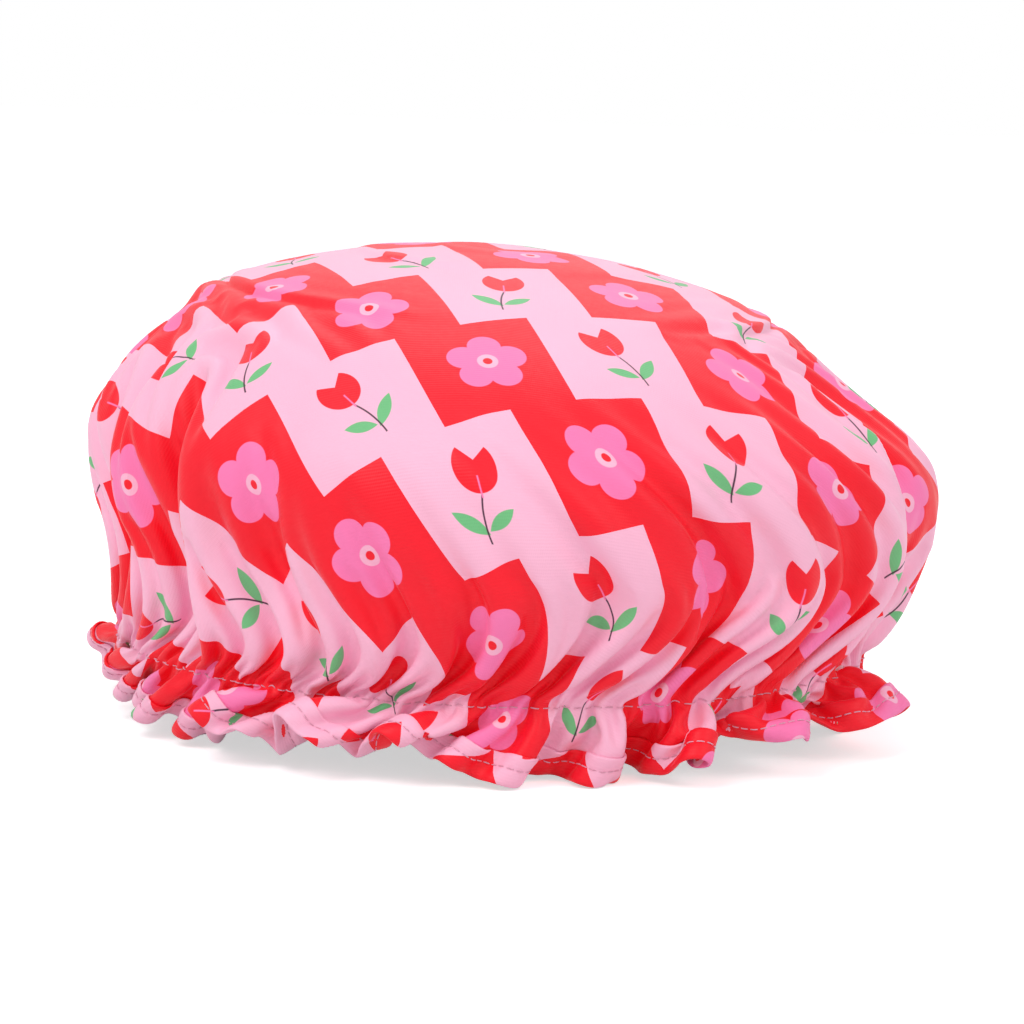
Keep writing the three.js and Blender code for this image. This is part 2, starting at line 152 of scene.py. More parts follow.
# The tucked sides
LEFT_TUCK_SHARE = 1
RIGHT_TUCK_SHARE = 0.35
SIDE_POWER = 1.5
TUCK_RISE = EQUATOR_RISE * 1.05

# The shoulders slope: towards which angle, how deep, and from, at and to what height above the stitch, in mm
SHOULDERS = [(5, 15, 68, 90, 124), (180, 12, 66, 90, 114)]

# Crumples above the elastic: number, depth, heights, and the share of them where no fold breaks up
RIPPLES = 5
RIPPLE = 3 * MM
RIPPLES_GROW = (6 * MM, 20 * MM)
RIPPLES_FADE = (34 * MM, 56 * MM)
RIPPLE_EVERYWHERE = 0.3

# The crown isn't quite round: a share everywhere, and waves of a share, times round and towards which angle
SWELL = 0.010
SWELLS = [(0.020, 1, 0), (0.014, 2, 12), (0.012, 3, 150)]

# How the cloth settles: how much of its error each kind of spring mends in a step, and the kinds that only
# push, once they are shorter than a share of their length
GIVES = {"ring": 1.0, "radial": 1.0, "shear": 0.35, "stiff": 0.12, "hem": 0.3, "bend": 0.1}
SHORTEST = {"bend": 1.0, "stiff": 0.87, "hem": 0.87}
STIFF_FROM = 11 * MM
HOLD, AIR, DAMP, FALL = 0.006, 0.7, 0.92, 2e-7
HOLD_EASES = (120 * MM, 170 * MM)
AIR_EVERY = 5
TOP_SPEED = 0.8 * MM
APART, NEAR, NOT_BESIDE = 2.3 * MM, 3.2 * MM, 6 * MM
TOUCH_PUSH = 0.35
TOUCH_FLAT = 188 * MM
TOUCH_STEP, PAIRS_EVERY = 20, 12
FLOOR_GAP = 0.9 * MM
BAND_HALF_HEIGHT = 5 * MM
BAND_FLAT = 200 * MM
SCALLOP, SCALLOP_REACH = 0.55 * MM, 7 * MM
SEED = 4
SETTLE_STEPS = 240

ANGLES = np.linspace(0, TURN, 5760, endpoint=False)
ALL_ROUND = np.append(ANGLES, TURN)


def smooth(low, high, x):
    t = np.clip((x - low) / (high - low), 0, 1)
    return t * t * (3 - 2 * t)


def unit(vectors):
    return vectors / np.maximum(np.linalg.norm(vectors, axis=-1, keepdims=True), TINY)


def lengths(vectors):
    return np.sqrt((vectors * vectors).sum(1))


def at_places(places, values):
    """Values given at ANGLES, at other places from 0 to a whole turn."""
    return np.interp(places, ALL_ROUND, np.append(values, values[0]))


def bezier(p0, p1, p2, p3, count=400):
    t = np.linspace(0, 1, count)[:, None]
    p0, p1, p2, p3 = (np.array(p, float) for p in (p0, p1, p2, p3))
    return (1 - t) ** 3 * p0 + 3 * t * (1 - t) ** 2 * p1 + 3 * t * t * (1 - t) * p2 + t ** 3 * p3


def crown_outline():
    """Radius and height above the stitch from the top down to the stitch, and the run along it."""
    upper = EQUATOR_RISE + (CROWN_RISE - EQUATOR_RISE) * ROUND_SHARE
    over = bezier((0, CROWN_RISE), (EQUATOR_RADIUS * TOP_SHARE, CROWN_RISE),
                  (EQUATOR_RADIUS, upper), (EQUATOR_RADIUS, EQUATOR_RISE))
    tuck = BAND_RADIUS + (EQUATOR_RADIUS - BAND_RADIUS) * TUCK_SHARE
    into = bezier((EQUATOR_RADIUS, EQUATOR_RISE), (EQUATOR_RADIUS, EQUATOR_RISE * (1 - TUCK_SHARE)),
                  (tuck, 3 * NECK), (STITCH_RADIUS, 0))
    path = np.vstack([over, into[1:]])
    run = np.append(0, np.cumsum(np.linalg.norm(np.diff(path, axis=0), axis=1)))
    return path, run


def split_folds(widths, random):
    """Each width cut into two or three uneven ones."""
    cut = []
    for width in widths:
        parts = random.uniform(0.7, 1.3, int(random.integers(2, 4)))
        cut += list(width * parts / parts.sum())
    return cut


def fold_wave(widths, valleys=None, first=FIRST_VALLEY, pinch=0.0):
    """A wave with a crest in each fold, as high as the fold is wide, and the share of the way across it.
    valleys holds how deep the valley before each fold is, and pinch says how narrow the valleys are."""
    starts = np.append(0, np.cumsum(widths))
    past_first = (ANGLES - math.radians(first)) % TURN
    index = np.clip(np.searchsorted(starts, past_first, side="right") - 1, 0, len(widths) - 1)
    widths = np.array(widths)
    across = (past_first - starts[index]) / widths[index]
    wave = -np.cos(TURN * across) * (1 - pinch) + (2 * np.sin(math.pi * across) - 1) * pinch
    if valleys is not None:
        nearest = np.array(valleys)[np.where(across < 0.5, index, (index + 1) % len(widths))]
        wave = 1 - (1 - wave) * nearest
    return wave * widths[index], across, index


def fold_looks(table, widths, first=FIRST_VALLEY):
    """The three middle columns of a table of folds, blended between neighbours at the valleys."""
    _, across, index = fold_wave(widths, first=first)
    beside = np.where(across < 0.5, index - 1, index + 1) % len(widths)
    crest = np.sin(math.pi * across)
    looks = []
    for column in np.array(table, float).T[1:4]:
        looks.append((column[index] + column[beside]) / 2 * (1 - crest) + column[index] * crest)
    return looks


class RingForm:
    """How one ring of the cloth lies round the axis, apart from how far its waves swing."""

    def __init__(self, radius, height, shape, lean, curled, flare, kept, down):
        self.radius, self.height, self.shape, self.lean = radius, height, shape, lean
        self.curled, self.flare, self.kept, self.down = curled, flare, kept, down

    def bent(self, swing):
        """The radius at each of ANGLES, and how long the ring is between one and the next."""
        out = self.radius * (1 + swing * self.shape) + self.down * np.sin(self.flare) * FLARE_REACH
        turned = ANGLES + self.curled + swing * self.lean
        places = np.stack([out * np.cos(turned), out * np.sin(turned), self.lifted(self.flare)], 1)
        return out, np.linalg.norm(np.roll(places, -1, 0) - places, axis=1)

    def lifted(self, flare):
        return self.down * (1 - np.cos(flare)) * RUFFLE_DROP

    def swing_for(self, length):
        """How far the waves have to swing for the ring to be as long as it was cut."""
        low, high = 0.0, MOST_SWING
        for _ in range(30):
            swing = (low + high) / 2
            if self.bent(swing)[1].sum() < length:
                low = swing
            else:
                high = swing
        return swing


class Waves:
    """The folds of the crown and the flaps of the ruffle, as waves at ANGLES."""

    def __init__(self, random):
        widths = [math.radians(row[0]) for row in FOLDS]
        flap_widths = [math.radians(row[0]) for row in FLAPS]
        mids = split_folds(widths, random)
        fines = split_folds(mids, random)
        self.crown, _, fold = fold_wave(widths, [row[4] for row in FOLDS], pinch=FOLD_PINCH)
        self.flap, self.across, flap = fold_wave(flap_widths, [row[4] for row in FLAPS], FIRST_FLAP)
        self.mid, _, _ = fold_wave(mids)
        self.fine, _, _ = fold_wave(fines)
        self.width, self.flap_width = np.array(widths)[fold], np.array(flap_widths)[flap]
        self.depth, self.lean, self.broken = fold_looks(FOLDS, widths)
        self.flap_flare, self.flap_curl, self.flap_lean = fold_looks(FLAPS, flap_widths, FIRST_FLAP)

    def crown_ring(self, up, radius, height):
        """The ring that lies up above the stitch along the cloth, where its waves grow and fade."""
        reach = 26 * MM + 22 * MM * self.broken
        mid_in = smooth(0, 9 * MM, up) * (1 - smooth(0.35 * reach, reach, up))
        crown_in = smooth(0, 24 * MM, up) * (1 - 0.75 * mid_in * self.broken)
        crown_in = crown_in * (1 - 0.8 * self.broken * smooth(38 * MM, 60 * MM, up))
        deep = self.depth * (self.crown - INWARD_SHARE * self.width)
        shape = crown_in * deep + mid_in * (0.35 + 0.65 * self.broken) * self.mid
        shape = shape + (1 - smooth(0, 12 * MM, up)) * self.fine
        lean = self.lean * crown_in * (self.crown + self.width) * smooth(0, 45 * MM, up)
        flat = 0 * ANGLES
        return RingForm(radius, height, shape, lean, flat, flat, 1 - smooth(72 * MM, 128 * MM, up), 0)

    def ruffle_ring(self, down):
        """The ring that lies down below the stitch along the cloth."""
        span = smooth(0, 25 * MM, down)
        tuck = np.where(np.cos(ANGLES) < 0, LEFT_RUFFLE_TUCK, RIGHT_RUFFLE_TUCK)
        tuck = tuck * np.cos(ANGLES) ** 2 + FRONT_RUFFLE_TUCK * np.clip(-np.sin(ANGLES), 0, 1) ** 2
        radius = STITCH_RADIUS + RUFFLE_WIDENS * span - tuck * span
        grown = smooth(0, 18 * MM, down)
        mid_in = smooth(0, 6 * MM, down) * (1 - smooth(5 * MM, 13 * MM, down))
        shape = grown * self.flap + mid_in * self.mid + (1 - smooth(0, 8 * MM, down)) * self.fine
        lean = self.flap_lean * grown * (self.flap + self.flap_width)
        curled = self.flap_curl * grown * np.sin(2 * TURN * self.across) * self.flap_width / TURN
        flare = self.flap_flare * (self.flap / self.flap_width + 1) / 2
        for middle, half, swing in HELD_UP:
            beside = np.abs((ANGLES - math.radians(middle) + TURN / 2) % TURN - TURN / 2)
            flare = np.maximum(flare, swing * (1 - smooth(0.6, 1, beside / math.radians(half))))
        return RingForm(radius, -down * RUFFLE_DROP, shape, lean, curled, flare, 1.0, down)


class Cloth:
    """The round of cloth as rings of points, from its gathered start to its settled form, round 0, 0."""

    def __init__(self):
        self.rings = []
        for low, high, step, count in ZONES:
            steps = max(1, round((high - low) / step))
            self.rings += [(low * MM + (high - low) * MM * i / steps, count) for i in range(steps)]
        self.rings.append((EDGE_FLAT, RUFFLE_COLUMNS))
        flats, counts = zip(*self.rings)
        self.first = np.append(1, 1 + np.cumsum(counts))
        self.flat_r = np.append(0, np.repeat(flats, counts))
        self.flat_a = np.append(0, np.concatenate([np.arange(c) * TURN / c for c in counts]))
        self.per_ring = np.append(1, np.repeat(counts, counts))
        self.flat = np.stack([self.flat_r * np.cos(self.flat_a), self.flat_r * np.sin(self.flat_a)], 1)
        self.size = len(self.flat_r)
        self.points = np.zeros((self.size, 3))
        self.rest_ring = np.zeros(self.size)

    def ring(self, r):
        return np.arange(self.first[r], self.first[r + 1])

    def faces(self, last_flat=EDGE_FLAT):
        """Triangles at the top and where a ring doubles, squares elsewhere, out to last_flat."""
        top = self.ring(0)
        made = [(0, a, b) for a, b in zip(top.tolist(), np.roll(top, -1).tolist())]
        for r in range(len(self.rings) - 1):
            if self.rings[r + 1][0] > last_flat + 0.1 * MM:
                break
            a, b = self.ring(r).tolist(), self.ring(r + 1).tolist()
            n = len(a)
            for k in range(n):
                here, there = a[k], a[(k + 1) % n]
                if len(b) == n:
                    made.append((here, b[k], b[(k + 1) % n], there))
                else:
                    middle, end = b[2 * k + 1], b[(2 * k + 2) % len(b)]
                    made += [(here, b[2 * k], middle), (here, middle, there), (there, middle, end)]
        return made

    def gather(self):
        """Lays each ring along the outline in folds, so that it keeps the length that it was cut to."""
        random = np.random.default_rng(SEED)
        waves = Waves(random)
        path, run = crown_outline()
        self.points[0] = (0, 0, CROWN_RISE)
        for r, (flat, _) in enumerate(self.rings):
            along = flat * run[-1] / STITCH_FLAT
            if flat <= STITCH_FLAT:
                radius, height = np.interp(along, run, path[:, 0]), np.interp(along, run, path[:, 1])
                form = waves.crown_ring(STITCH_FLAT - flat, radius, height)
            else:
                form = waves.ruffle_ring(flat - STITCH_FLAT)
            self.lay(self.ring(r), form, flat)
        self.shape_whole(waves, random)

    def lay(self, ids, form, flat):
        """Places a ring's points evenly along its folds."""
        from_stitch = abs(STITCH_FLAT - flat)
        pinch = STITCH_PINCH_SHARE + (1 - STITCH_PINCH_SHARE) * smooth(0, 9 * MM, from_stitch)
        swing = form.swing_for(TURN * flat) * (form.kept ** CALM_POWER * pinch)
        out, steps = form.bent(swing)
        length = steps.sum()
        arc = np.append(0, np.cumsum(steps)) / length * TURN
        even = self.flat_a[ids]
        place = form.kept * np.interp(even, arc, ALL_ROUND) + (1 - form.kept) * even
        turned = place + at_places(place, form.curled + swing * form.lean)
        out = at_places(place, out)
        height = form.height + form.lifted(at_places(place, form.flare))
        self.points[ids] = np.stack([out * np.cos(turned), out * np.sin(turned), height], 1)
        self.rest_ring[ids] = (length if form.kept * pinch < 1 else TURN * flat) / len(ids)

    def shape_whole(self, waves, random):
        """The form as a whole: tucked sides, sloping shoulders, crumples, swell and the crown's lean."""
        x, y, rise = self.points.T
        high = smooth(NECK, EQUATOR_RISE, rise)
        angle = np.arctan2(y, x)
        side = LEFT_TUCK_SHARE * np.clip(-np.cos(angle), 0, 1) ** SIDE_POWER
        side += RIGHT_TUCK_SHARE * np.clip(np.cos(angle), 0, 1) ** SIDE_POWER
        tucked = side * np.sin(math.pi * np.clip(rise / TUCK_RISE, 0, 1))
        out = np.hypot(x, y)
        eased = np.where(out > BAND_RADIUS, BAND_RADIUS + (out - BAND_RADIUS) * (1 - tucked), out)
        for toward, deep, start, middle, end in SHOULDERS:
            dent = np.clip(np.cos(angle - math.radians(toward)), 0, 1) ** 2
            dent *= smooth(start * MM, middle * MM, rise) * (1 - smooth(middle * MM, end * MM, rise))
            eased -= deep * MM * dent
        ripple = 0
        for _ in range(RIPPLES):
            around, upward = random.integers(7, 19), random.uniform(130, 240) * random.choice([-1, 1])
            ripple = ripple + np.sin(around * angle + upward * rise + random.uniform(0, TURN))
        band = smooth(*RIPPLES_GROW, rise) * (1 - smooth(*RIPPLES_FADE, rise))
        broken = np.interp(angle % TURN, ANGLES, waves.broken)
        eased += RIPPLE * ripple * band * (RIPPLE_EVERYWHERE + (1 - RIPPLE_EVERYWHERE) * broken)
        self.points[:, :2] *= (eased / np.maximum(out, TINY))[:, None]
        swell = SWELL
        for share, times, toward in SWELLS:
            swell = swell + share * np.cos(times * (angle - math.radians(toward)))
        self.points[:, :2] *= (1 + swell * high)[:, None]
        rise += STITCH_HEIGHT - CROWN_TILT * x * high

    def springs(self):
        """Rows of springs, no point twice in a row: kind, the points at both ends and their lengths."""
        rows = {}

        def add(key, a, b):
            rows.setdefault(key, []).append((a, b))

        for r, (flat, n) in enumerate(self.rings):
            ids = self.ring(r)
            k = np.arange(n)
            kinds = [("ring", 1)]
            if n % 4 == 0:
                kinds.append(("bend", 2))
            if n % 8 == 0 and abs(flat - STITCH_FLAT) > STIFF_FROM:
                kinds.append(("hem" if flat > EDGE_FLAT - BINDING_WIDTH - MM else "stiff", 4))
            for kind, skip in kinds:
                for half in (0, 1):
                    picked = (k // skip % 2 == half) & (k < n - n % 2)
                    add((kind, half), ids[picked], np.roll(ids, -skip)[picked])
            if r + 1 == len(self.rings):
                break
            below = self.ring(r + 1)
            side = r % 2
            same = len(below) == n
            add(("radial", side), ids, below if same else below[::2])
            add(("shear", side), ids, np.roll(below, -1) if same else below[1::2])
            add(("shear", side + 2), np.roll(ids, -1), below if same else below[1::2])
            if r + 2 < len(self.rings) and len(self.ring(r + 2)) == n:
                add(("bend", 2 + (r // 2) % 2), ids, self.ring(r + 2))
        order = list(GIVES)
        made = []
        for key in sorted(rows, key=lambda name: (order.index(name[0]), name[1])):
            a, b = (np.concatenate(ends) for ends in zip(*rows[key]))
            made.append((key[0], a, b, self.flat_length(a, b)))
        return made

    def flat_length(self, a, b):
        """How far apart two points are in the cloth, where a ring that was eased in has its own length."""
        eased = self.rest_ring / np.maximum(self.flat_r, TINY) / (TURN / self.per_ring)
        turned = np.abs(self.flat_a[a] - self.flat_a[b])
        turned = np.minimum(turned, TURN - turned)
        across = (self.flat_r[a] + self.flat_r[b]) * np.sin(turned / 2) * (eased[a] + eased[b]) / 2
        return np.hypot(self.flat_r[a] - self.flat_r[b], across)

    def sides(self):
        """Each point's neighbours: left, right, towards the top and towards the edge."""
        left, right, up, down = (np.zeros(self.size, int) for _ in range(4))
        for r in range(len(self.rings)):
            ids = self.ring(r)
            left[ids], right[ids] = np.roll(ids, 1), np.roll(ids, -1)
            for side, other in ((up, max(r - 1, 0)), (down, min(r + 1, len(self.rings) - 1))):
                beyond = self.ring(other)
                side[ids] = beyond[np.arange(len(ids)) * len(beyond) // len(ids)]
        return left, right, up, down

    def settle(self, steps):
        """Relaxes the gathered cloth: flat lengths kept, some air under the crown, no cloth through cloth."""
        springs, sides = self.springs(), self.sides()
        points = self.points
        stitch = int(np.argmin([abs(flat - STITCH_FLAT) for flat, _ in self.rings]))
        free = np.ones(self.size)
        free[self.ring(stitch)] = 0
        crown = self.flat_r < STITCH_FLAT
        home = points.copy()
        held = np.where(crown, HOLD, HOLD / 2) * (0.5 + 0.5 * (1 - smooth(*HOLD_EASES, self.flat_r)))
        held = (held * free)[:, None]
        low = np.nonzero(self.flat_r > TOUCH_FLAT)[0]
        speed = np.zeros_like(points)
        pairs = None
        for step in range(steps):
            if step % AIR_EVERY == 0:
                outward = -0.25 * inward_cross(points, sides)
                outward *= (AIR * crown)[:, None]
            speed = speed * DAMP + outward
            speed[:, 2] -= FALL
            before = points.copy()
            points = points + speed * free[:, None]
            points += (home - points) * held
            for kind, a, b, rest in springs:
                pull(points, free, kind, a, b, rest)
            if step >= TOUCH_STEP:
                if step % PAIRS_EVERY == 0 or pairs is None:
                    pairs = close_pairs(points, low, self.flat)
                push_apart(points, free, *pairs)
            points[0] = points[self.ring(0)].mean(0)
            points[:, 2] = np.maximum(points[:, 2], FLOOR_GAP)
            out = np.hypot(points[:, 0], points[:, 1])
            at_band = (np.abs(points[:, 2] - STITCH_HEIGHT) < BAND_HALF_HEIGHT) & (self.flat_r > BAND_FLAT)
            tight = at_band & (out < BAND_OUTSIDE)
            points[tight, :2] *= (BAND_OUTSIDE / out[tight])[:, None]
            speed = points - before
            speed *= np.minimum(1, TOP_SPEED / np.maximum(lengths(speed), TINY))[:, None]
        self.points = points

    def pucker(self):
        """Small scallops where each stitch draws the cloth in."""
        outward = -unit(inward_cross(self.points, self.sides()))
        beat = np.cos(self.flat_a * RUFFLE_COLUMNS / 3)
        reach = np.clip(1 - np.abs(self.flat_r - STITCH_FLAT) / SCALLOP_REACH, 0, 1) ** 1.5
        self.points += outward * (beat * reach * SCALLOP)[:, None]


def inward_cross(points, sides):
    """At each point, a vector into the cap, as long as the cloth around the point is large."""
    left, right, up, down = sides
    return np.cross(points[right] - points[left], points[down] - points[up])


def pull(points, free, kind, a, b, rest):
    """Moves the ends of a row of springs towards their lengths at rest."""
    apart_by = points[b] - points[a]
    length = lengths(apart_by)
    off = length - rest * SHORTEST.get(kind, 1.0)
    if kind in SHORTEST:
        off = np.minimum(off, 0)
    share = GIVES[kind] * off / np.maximum(length, TINY) / np.maximum(free[a] + free[b], TINY)
    push = share[:, None] * apart_by
    points[a] += push * free[a][:, None]
    points[b] -= push * free[b][:, None]


def push_apart(points, free, a, b):
    """Moves pairs of points that are closer than APART away from each other."""
    apart_by = points[b] - points[a]
    length = lengths(apart_by)
    push = (TOUCH_PUSH * np.minimum(length - APART, 0) / np.maximum(length, TINY))[:, None] * apart_by
    for axis in range(3):
        points[:, axis] += np.bincount(a, push[:, axis], len(points)) * free
        points[:, axis] -= np.bincount(b, push[:, axis], len(points)) * free


def close_pairs(points, ids, flat):
    """Pairs of points of ids nearer than NEAR that aren't next to each other in the cloth."""
    places = points[ids]
    cell = np.floor(places / NEAR).astype(np.int64)
    cell -= cell.min(0) - 1
    size = cell.max(0) + 2
    key = (cell[:, 0] * size[1] + cell[:, 1]) * size[2] + cell[:, 2]
    order = np.argsort(key, kind="stable")
    in_order = key[order]
    steps = [(x, y, z) for x in (-1, 0, 1) for y in (-1, 0, 1) for z in (-1, 0, 1) if (x, y, z) >= (0, 0, 0)]
    found_a, found_b = [], []
    for x, y, z in steps:
        shift = (x * size[1] + y) * size[2] + z
        start = np.searchsorted(in_order, key + shift, "left")
        count = np.searchsorted(in_order, key + shift, "right") - start
        for k in range(count.max()):
            a = np.nonzero(count > k)[0]
            b = order[start[a] + k]
            if shift == 0:
                a, b = a[a < b], b[a < b]
            found_a.append(a)
            found_b.append(b)
    a, b = np.concatenate(found_a), np.concatenate(found_b)
    touch = ((places[a] - places[b]) ** 2).sum(1) < NEAR * NEAR
    a, b = ids[a[touch]], ids[b[touch]]
    other = ((flat[a] - flat[b]) ** 2).sum(1) > NOT_BESIDE ** 2
    return a[other], b[other]


class Patch:
    """The smooth surface through the settled cloth's outer rings, by distance from the centre and angle."""

    def __init__(self, cloth):
        rows = [r for r, (_, count) in enumerate(cloth.rings) if count == RUFFLE_COLUMNS]
        self.flats = np.array([cloth.rings[r][0] for r in rows])
        grid = np.array([cloth.points[cloth.ring(r)] for r in rows])
        self.grid = np.concatenate([grid, [2 * grid[-1] - grid[-2]], [3 * grid[-1] - 2 * grid[-2]]])

    def weights(self, t):
        """The shares of four rows in a row of points, t of the way between the middle two."""
        s = 1 - t
        before, after = 3 * t ** 3 - 6 * t * t + 4, -3 * t ** 3 + 3 * t * t + 3 * t + 1
        return [s ** 3 / 6, before / 6, after / 6, t ** 3 / 6]

    def at(self, flat, angle):
        flat, angle = np.broadcast_arrays(np.asarray(flat, float), np.asarray(angle, float))
        row = np.interp(flat, self.flats, np.arange(len(self.flats)))
        column = angle / TURN * RUFFLE_COLUMNS
        r0, c0 = np.floor(row).astype(int), np.floor(column).astype(int)
        total = 0
        for i, wr in enumerate(self.weights(row - r0)):
            rows = np.clip(r0 + i - 1, 0, len(self.grid) - 1)
            for j, wc in enumerate(self.weights(column - c0)):
                total = total + (wr * wc)[..., None] * self.grid[rows, (c0 + j - 1) % RUFFLE_COLUMNS]
        return total

    def frame_at(self, flat, angle):
        """Place, direction down the cloth and outward normal."""
        flat, angle = np.broadcast_arrays(np.asarray(flat, float), np.asarray(angle, float))
        step_a = 0.25 * TURN / RUFFLE_COLUMNS
        step_f = 0.4 * MM
        along = unit(self.at(flat, angle + step_a) - self.at(flat, angle - step_a))
        down = unit(self.at(np.minimum(flat + step_f, EDGE_FLAT), angle) - self.at(flat - step_f, angle))
        return self.at(flat, angle), down, unit(np.cross(down, along))


def make_piece(name, points, faces, uvs, material, uv_corners=False):
    """A smooth mesh piece. uvs has a row for each point or, with uv_corners, for each corner."""
    mesh = bpy.data.meshes.new(name)
    centred = np.asarray(points, float) + np.array([AXIS.x, AXIS.y, 0])
    mesh.from_pydata(centred.tolist(), [], faces)
    mesh.update()
    if not uv_corners:
        corners = np.zeros(len(mesh.loops), int)
        mesh.loops.foreach_get("vertex_index", corners)
        uvs = uvs[corners]
    mesh.uv_layers.new(name="cut").data.foreach_set("uv", np.asarray(uvs, np.float32).ravel())
    mesh.polygons.foreach_set("use_smooth", [True] * len(mesh.polygons))
    mesh.materials.append(material)
    piece = put_in_scene(name, mesh)
    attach(piece, "root")
    return piece


def thicken(piece, name, thickness):
    """Rounds a sheet off and gives it its thickness."""
    rounding = piece.modifiers.new("rounding", "SUBSURF")
    rounding.levels = rounding.render_levels = 1
    wall = piece.modifiers.new(name, "SOLIDIFY")
    wall.thickness = thickness
    wall.offset = 0
    return wall


# Materials

def colour(red, green, blue):
    """A colour as it shows on the screen, 0 to 255, turned into light."""
    made = []
    for value in (red, green, blue):
        v = value / 255
        made.append(v / 12.92 if v <= 0.04045 else ((v + 0.055) / 1.055) ** 2.4)
    return (*made, 1.0)


RED = colour(250, 12, 38)
PALE_PINK = colour(255, 188, 215)
MID_PINK = colour(255, 126, 183)
WASHED_PINK = colour(250, 214, 226)
LEAF_GREEN = colour(112, 190, 128)
STEM_DARK = colour(66, 28, 52)
THREAD_PINK = colour(250, 190, 212)
THREAD_SHADE = colour(232, 160, 188)
JOIN_SHADE = colour(224, 150, 180)
FILM_LIGHT = colour(243, 243, 245)
FILM_SHADE = colour(226, 228, 232)
BRAID_LIGHT = colour(244, 242, 238)
BRAID_SHADE = colour(206, 202, 198)

# The print: its blocks, and the flower and the tulip on them
BLOCK_WIDE, BLOCK_TALL = 44 * MM, 42 * MM
FLOWER_ASIDE = 1.5 * MM
PETAL_OUT, PETAL_RADIUS = 7.6 * MM, 5.3 * MM
CENTRE_RADIUS, EYE_RADIUS = 3.3 * MM, 1.5 * MM
TULIP_LEAN = math.radians(16)
TULIP_UP = 1 * MM
CUP_SQUEEZE, CUP_UP, CUP_RADIUS = 0.82, 6.2 * MM, 8.2 * MM
POINTS_UP, POINT_WIDE, POINT_TALL = 10.2 * MM, 4.4 * MM, 4.2 * MM
STEM_TOP, STEM_END = (0, -2 * MM), (1.2 * MM, -17 * MM)
STEM_THICK, STEM_BOW = 0.55 * MM, 0.9 * MM
VEIN_ASIDE, VEIN_HALF, VEIN_HALF_THICK = 0.1 * MM, 3.0 * MM, 0.25 * MM
PRINT_EDGE = 0.12 * MM

# Each leaf: where it starts, its direction in degrees, length and width, in mm
LEAVES = [(0.9, -14, 38, 12.5, 4.2), (0.7, -13, 145, 10.5, 3.8)]

RIB_SPACING, CROSS_SPACING = 0.95 * MM, 0.55 * MM
CLOTH_TURN, BINDING_TURN = 20, 57


class Number:
    """A number that a material works out at each place, so that its nodes are written as sums."""

    def __init__(self, tree, source):
        self.tree, self.source = tree, source

    def node(self, operation, *others, clamp=False):
        made = self.tree.nodes.new("ShaderNodeMath")
        made.operation, made.use_clamp = operation, clamp
        for socket, value in zip(made.inputs, (self, *others)):
            if isinstance(value, Number):
                self.tree.links.new(value.source, socket)
            else:
                socket.default_value = value
        return Number(self.tree, made.outputs[0])

    __add__ = __radd__ = partialmethod(node, "ADD")
    __mul__ = __rmul__ = partialmethod(node, "MULTIPLY")
    __sub__ = partialmethod(node, "SUBTRACT")
    __truediv__ = partialmethod(node, "DIVIDE")
    floor = partialmethod(node, "FLOOR")
    root = partialmethod(node, "SQRT")
    sin = partialmethod(node, "SINE")
    cos = partialmethod(node, "COSINE")
    abs = partialmethod(node, "ABSOLUTE")
    angle = partialmethod(node, "ARCTAN2")
    low = partialmethod(node, "MINIMUM")
    high = partialmethod(node, "MAXIMUM")

    def __rsub__(self, other):
        return self * -1 + other

    def wrap(self, low, high):
        return self.node("WRAP", high, low)

    def inside(self):
        """1 where a signed distance is below zero, with a crisp edge."""
        return (self * (-0.5 / PRINT_EDGE) + 0.5).node("ADD", 0, clamp=True)


def length_of(x, y):
    return (x * x + y * y).root()


def turn_axes(x, y, angle):
    """x and y in axes turned by an angle, in radians."""
    if isinstance(angle, Number):
        c, s = angle.cos(), angle.sin()
    else:
        c, s = math.cos(angle), math.sin(angle)
    return x * c + y * s, y * c - x * s


def leaf(x, y, from_x, from_y, degrees, length, width):
    """The signed distance to a pointed leaf, with its sizes in mm."""
    along, across = turn_axes(x - from_x * MM, y - from_y * MM, math.radians(degrees))
    share = along * (2 / (length * MM)) - 1
    return across.abs() - (1 - share * share) * (width * MM / 2)


def line(x, y, start, end, thick, bow):
    """The signed distance to a thin line between two points, bowed sideways."""
    run_x, run_y = end[0] - start[0], end[1] - start[1]
    length = math.hypot(run_x, run_y)
    along, across = turn_axes(x - start[0], y - start[1], math.atan2(run_y, run_x))
    share = along * (2 / length) - 1
    bent = across - (1 - share * share) * bow
    return bent.abs().high(share.abs() * (length / 2) - length / 2 + thick) - thick / 2


def set_inputs(node, values):
    for name, value in values.items():
        node.inputs[name].default_value = value


def new_material(name, roughness, sheen=0.0, specular=0.4, sheen_roughness=0.4):
    material = bpy.data.materials.new(name)
    material.use_nodes = True
    shader = material.node_tree.nodes["Principled BSDF"]
    set_inputs(shader, {"Roughness": roughness, "Specular IOR Level": specular,
                        "Sheen Weight": sheen, "Sheen Roughness": sheen_roughness})
    return material, material.node_tree, shader


def parts_of(tree, socket, count):
    """The first numbers of a vector."""
    parts = tree.nodes.new("ShaderNodeSeparateXYZ")
    tree.links.new(socket, parts.inputs[0])
    return [Number(tree, parts.outputs[i]) for i in range(count)]


def cut_place(tree):
    """Where a point is in the flat piece of cloth, in metres."""
    source = tree.nodes.new("ShaderNodeUVMap")
    source.uv_map = "cut"
    return parts_of(tree, source.outputs["UV"], 2)


def around_place(tree):
    """For a piece round the axis: metres along the band, and height."""
    source = tree.nodes.new("ShaderNodeTexCoord")
    x, y, z = parts_of(tree, source.outputs["Object"], 3)
    return (y - AXIS.y).angle(x - AXIS.x) * BAND_RADIUS, z


